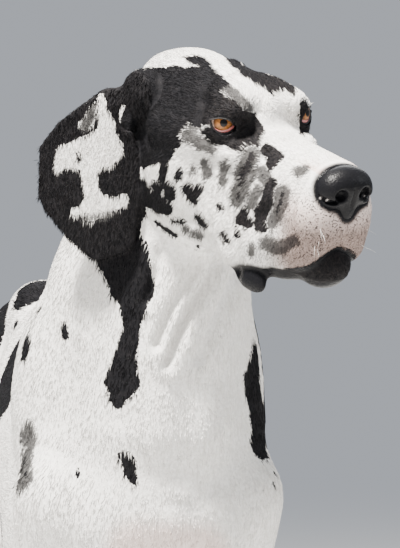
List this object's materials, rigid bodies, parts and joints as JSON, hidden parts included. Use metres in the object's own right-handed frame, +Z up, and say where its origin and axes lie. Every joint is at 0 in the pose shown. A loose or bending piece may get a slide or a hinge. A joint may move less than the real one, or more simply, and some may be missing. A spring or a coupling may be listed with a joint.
{
  "type": "great dane dog, still life-size figure",
  "caption": "Life-size standing great dane with a white coat torn with black patches, natural hanging ears and a turned head.",
  "frame": {"origin": "bottom centre of the bounding box, on the floor that the four paws stand on", "axes": "+X the way the dog faces, +Y its left side, +Z up"},
  "size_m": [1.2388, 0.3406, 1.067],
  "materials": {
    "coat": "short flat glossy fur, white with torn black patches",
    "nose": "moist, finely pebbled black leather",
    "eye": "wet clear cornea over a brown iris"
  },
  "bodies": {
    "root": {"head": "coat", "lower_jaw": "coat", "nose": "nose", "eye_right": "eye", "eye_left": "eye", "ear_right": "coat", "ear_left": "coat", "neck": "coat", "torso": "coat", "tail": "coat", "shoulder_right": "coat", "forearm_right": "coat", "pastern_right": "coat", "fore_paw_right": "coat", "thigh_right": "coat", "lower_thigh_right": "coat", "rear_pastern_right": "coat", "hind_paw_right": "coat", "shoulder_left": "coat", "forearm_left": "coat", "pastern_left": "coat", "fore_paw_left": "coat", "thigh_left": "coat", "lower_thigh_left": "coat", "rear_pastern_left": "coat", "hind_paw_left": "coat"}
  },
  "joints": []
}
